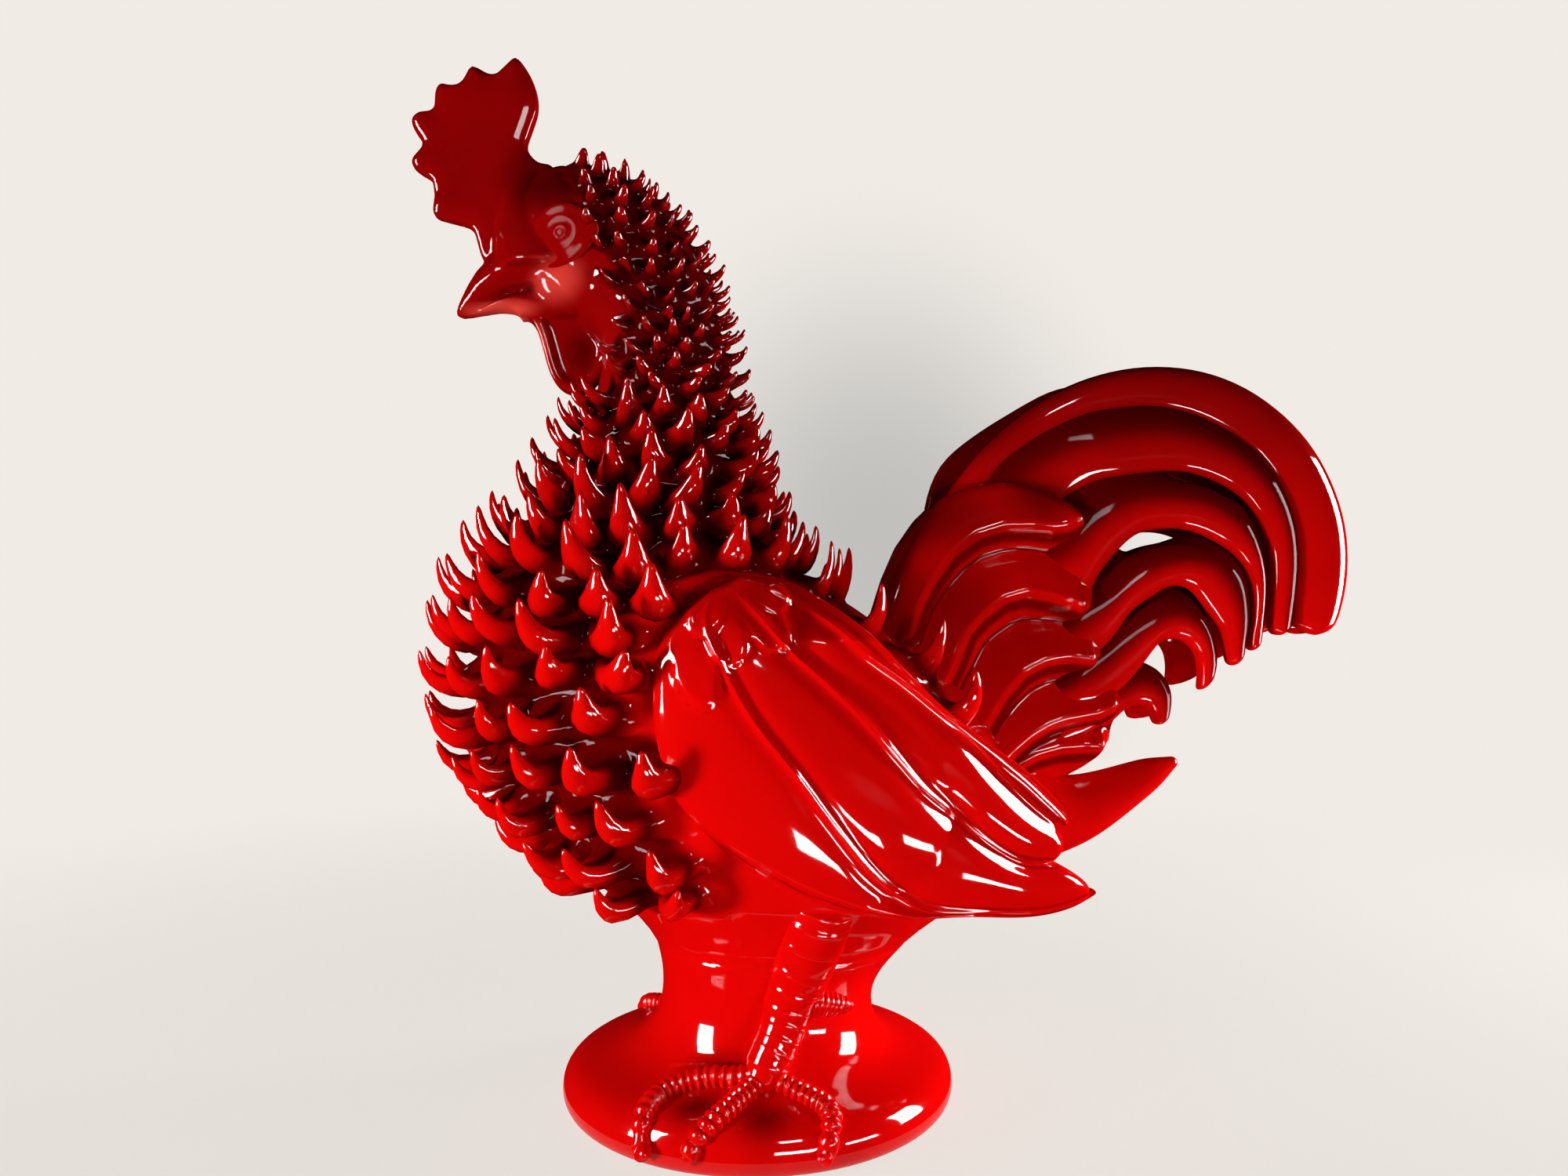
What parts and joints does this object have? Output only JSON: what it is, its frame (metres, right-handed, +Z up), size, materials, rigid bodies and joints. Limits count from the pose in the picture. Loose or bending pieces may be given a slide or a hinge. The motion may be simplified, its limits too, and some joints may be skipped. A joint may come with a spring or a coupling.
{
  "type": "ceramic hen ornament",
  "caption": "Free-standing glazed ceramic hen, really a cockerel, with pinched spike plumage, smooth slab wings and a pierced sickle-feather tail, on a round flared foot.",
  "frame": {"origin": "centre of the flat underside of the round foot", "axes": "+Z up, beak toward -X, the bird's left side toward -Y"},
  "size_m": [0.3989, 0.17, 0.4268],
  "materials": {
    "red_glaze": "deep red gloss glaze over white-bodied earthenware"
  },
  "bodies": {
    "root": {"pedestal": "red_glaze", "body_shell": "red_glaze", "neck_shell": "red_glaze", "head_shell": "red_glaze", "comb": "red_glaze", "upper_beak": "red_glaze", "lower_beak": "red_glaze", "wattle": "red_glaze", "eye_left": "red_glaze", "eye_right": "red_glaze", "wing_left": "red_glaze", "wing_right": "red_glaze", "tail_left": "red_glaze", "tail_right": "red_glaze", "rear_point": "red_glaze", "leg_left": "red_glaze", "leg_right": "red_glaze", "foot_left": "red_glaze", "foot_right": "red_glaze", "spur_left": "red_glaze", "spur_right": "red_glaze"}
  },
  "joints": []
}
